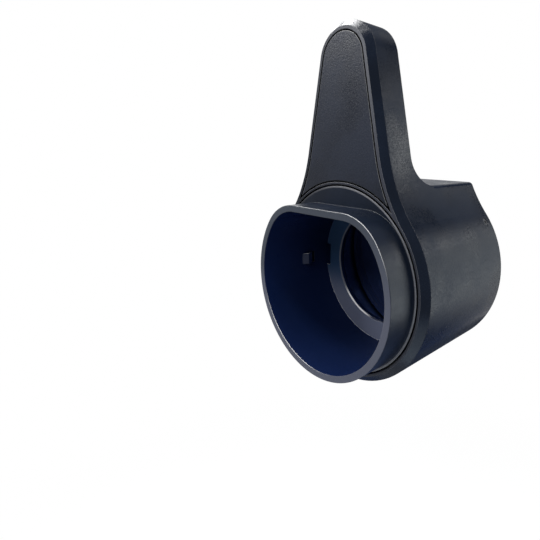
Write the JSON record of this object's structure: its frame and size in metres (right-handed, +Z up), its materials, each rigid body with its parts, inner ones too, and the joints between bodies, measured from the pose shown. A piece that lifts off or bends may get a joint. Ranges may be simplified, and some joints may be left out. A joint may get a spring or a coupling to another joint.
{
  "type": "ev connector holder",
  "caption": "Wall holder for a car charging connector: a round socket with a flat roof, a tongue above it that the cable hangs behind, and a plate that screws to the wall.",
  "frame": {"origin": "on the wall face, where the axis of the socket meets the wall", "axes": "+X right as seen from the front, +Y into the wall, +Z up"},
  "size_m": [0.0796, 0.0666, 0.1358],
  "materials": {
    "housing_plastic": "satin",
    "panel_plastic": "matte",
    "socket_plastic": "satin",
    "plate_plastic": "matte",
    "screw_steel": "satin"
  },
  "bodies": {
    "root": {"housing": "housing_plastic", "front_panel": "panel_plastic", "socket_insert": "socket_plastic", "wall_plate": "plate_plastic", "lock_screws": "screw_steel"}
  },
  "joints": []
}
